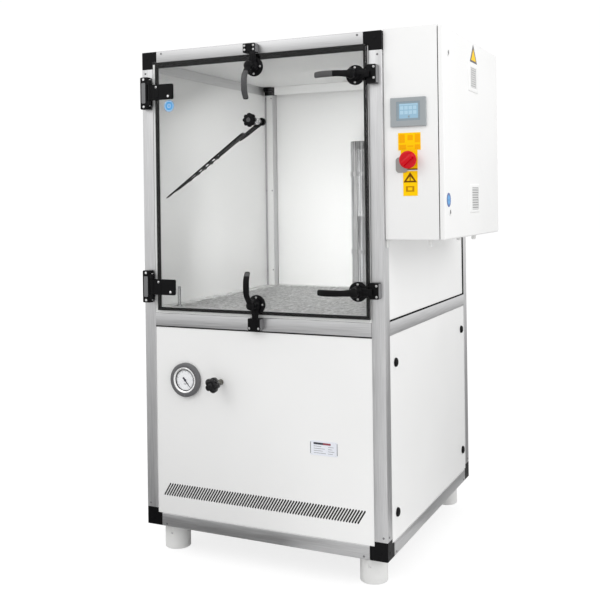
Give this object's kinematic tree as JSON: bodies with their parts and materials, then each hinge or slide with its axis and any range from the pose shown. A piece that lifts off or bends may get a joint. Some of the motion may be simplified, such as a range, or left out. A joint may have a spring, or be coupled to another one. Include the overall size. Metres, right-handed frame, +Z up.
{
  "type": "dust test chamber",
  "caption": "Free-standing cabinet with a glass door, hand-turned wiper, perforated floor over a hopper and a side electrical enclosure.",
  "frame": {"origin": "on the floor, under the middle of the whole object's box", "axes": "+Z up, +X to the right as seen from the door side, +Y from the door to the back"},
  "size_m": [1.2154, 1.192, 1.959],
  "materials": {
    "satin_aluminium": "satin anodised extrusion",
    "black_plastic": "matt moulded",
    "dark_grey_plastic": "satin moulded",
    "white_panel": "smooth powder coat",
    "floor_steel": "perforated sheet",
    "polished_steel": "polished sheet",
    "gauge_grey": "satin",
    "black_rubber": "matt",
    "clear_glass": "clear",
    "enclosure_paint": "fine textured powder coat",
    "grey_panel": "satin",
    "red_plastic": "semi-gloss",
    "foot_white": "matt"
  },
  "bodies": {
    "cabinet": {"column_front_left": "satin_aluminium", "column_front_right": "satin_aluminium", "column_rear_left": "satin_aluminium", "column_rear_right": "satin_aluminium", "top_rail_front": "satin_aluminium", "top_rail_left": "satin_aluminium", "top_rail_right": "satin_aluminium", "top_rail_rear": "satin_aluminium", "bottom_rail_front": "satin_aluminium", "bottom_rail_left": "satin_aluminium", "bottom_rail_right": "satin_aluminium", "bottom_rail_rear": "satin_aluminium", "mid_rail_front": "satin_aluminium", "mid_rail_right": "satin_aluminium", "connector_top_left": "black_plastic", "connector_top_right": "black_plastic", "connector_bottom_left": "black_plastic", "connector_bottom_right": "black_plastic", "hinge_frame_upper": "black_plastic", "hinge_frame_lower": "black_plastic", "keeper_top": "black_plastic", "keeper_bottom": "black_plastic", "keeper_lower_right": "black_plastic", "keeper_upper_right": "black_plastic", "front_lower_panel": "white_panel", "right_lower_panel": "white_panel", "right_upper_panel": "white_panel", "left_panel": "white_panel", "rear_panel": "white_panel", "roof_panel": "white_panel", "chamber_floor": "floor_steel", "dust_hopper": "polished_steel", "air_duct": "polished_steel", "circulation_blower": "gauge_grey", "pressure_gauge": "gauge_grey", "door_seal": "black_rubber", "enclosure_box": "enclosure_paint", "touch_panel": "grey_panel", "foot_front_left": "foot_white", "foot_front_right": "foot_white", "foot_rear_left": "foot_white", "foot_rear_right": "foot_white"},
    "door": {"door_glass": "clear_glass", "hinge_leaf_upper": "black_plastic", "hinge_leaf_lower": "black_plastic", "latch_base_top": "black_plastic", "latch_base_bottom": "black_plastic", "latch_base_lower_right": "black_plastic", "latch_base_upper_right": "black_plastic"},
    "latch_top": {"latch_handle_top": "dark_grey_plastic"},
    "latch_bottom": {"latch_handle_bottom": "dark_grey_plastic"},
    "latch_lower_right": {"latch_handle_lower_right": "dark_grey_plastic"},
    "latch_upper_right": {"latch_handle_upper_right": "dark_grey_plastic"},
    "wiper": {"wiper_knob": "black_plastic", "wiper_arm": "black_plastic"},
    "enclosure_lid": {"enclosure_door": "enclosure_paint"},
    "main_switch": {"main_switch_knob": "red_plastic"},
    "valve": {"valve_knob": "black_plastic"},
    "pointer": {"gauge_pointer": "black_plastic"},
    "fan": {"blower_wheel": "gauge_grey"}
  },
  "joints": [
    {"name": "door_hinge", "type": "hinge", "parent": "cabinet", "child": "door", "pos_m": [-0.55275, -0.512, 1.412], "axis": [0, 0, 1], "range_deg": [-110, 0]},
    {"name": "latch_top_turn", "type": "hinge", "parent": "door", "child": "latch_top", "pos_m": [-0.09375, -0.534, 1.856], "axis": [0, -1, 0], "range_deg": [0, 90]},
    {"name": "latch_bottom_turn", "type": "hinge", "parent": "door", "child": "latch_bottom", "pos_m": [-0.09675, -0.534, 0.984], "axis": [0, -1, 0], "range_deg": [0, 90]},
    {"name": "latch_lower_right_turn", "type": "hinge", "parent": "door", "child": "latch_lower_right", "pos_m": [0.30425, -0.534, 1.043], "axis": [0, -1, 0], "range_deg": [0, 90]},
    {"name": "latch_upper_right_turn", "type": "hinge", "parent": "door", "child": "latch_upper_right", "pos_m": [0.30425, -0.534, 1.798], "axis": [0, -1, 0], "range_deg": [0, 90]},
    {"name": "wiper_turn", "type": "hinge", "parent": "door", "child": "wiper", "pos_m": [-0.09775, -0.484, 1.659], "axis": [0, -1, 0], "range_deg": [-5, 109]},
    {"name": "enclosure_hinge", "type": "hinge", "parent": "cabinet", "child": "enclosure_lid", "pos_m": [0.59875, 0.307, 1.5885], "axis": [0, 0, 1], "range_deg": [0, 120]},
    {"name": "main_switch_turn", "type": "hinge", "parent": "cabinet", "child": "main_switch", "pos_m": [0.48875, -0.484, 1.4975], "axis": [0, -1, 0], "range_deg": [0, 90]},
    {"name": "valve_turn", "type": "hinge", "parent": "cabinet", "child": "valve", "pos_m": [-0.26775, -0.514, 0.682], "axis": [0, -1, 0], "range_deg": [0, 270]},
    {"name": "pointer_turn", "type": "hinge", "parent": "cabinet", "child": "pointer", "pos_m": [-0.42075, -0.494, 0.68], "axis": [0, -1, 0], "range_deg": [0, 270]},
    {"name": "fan_spin", "type": "hinge", "parent": "cabinet", "child": "fan", "pos_m": [-0.10775, 0.076, 0.372], "axis": [0, 1, 0], "continuous": true}
  ]
}
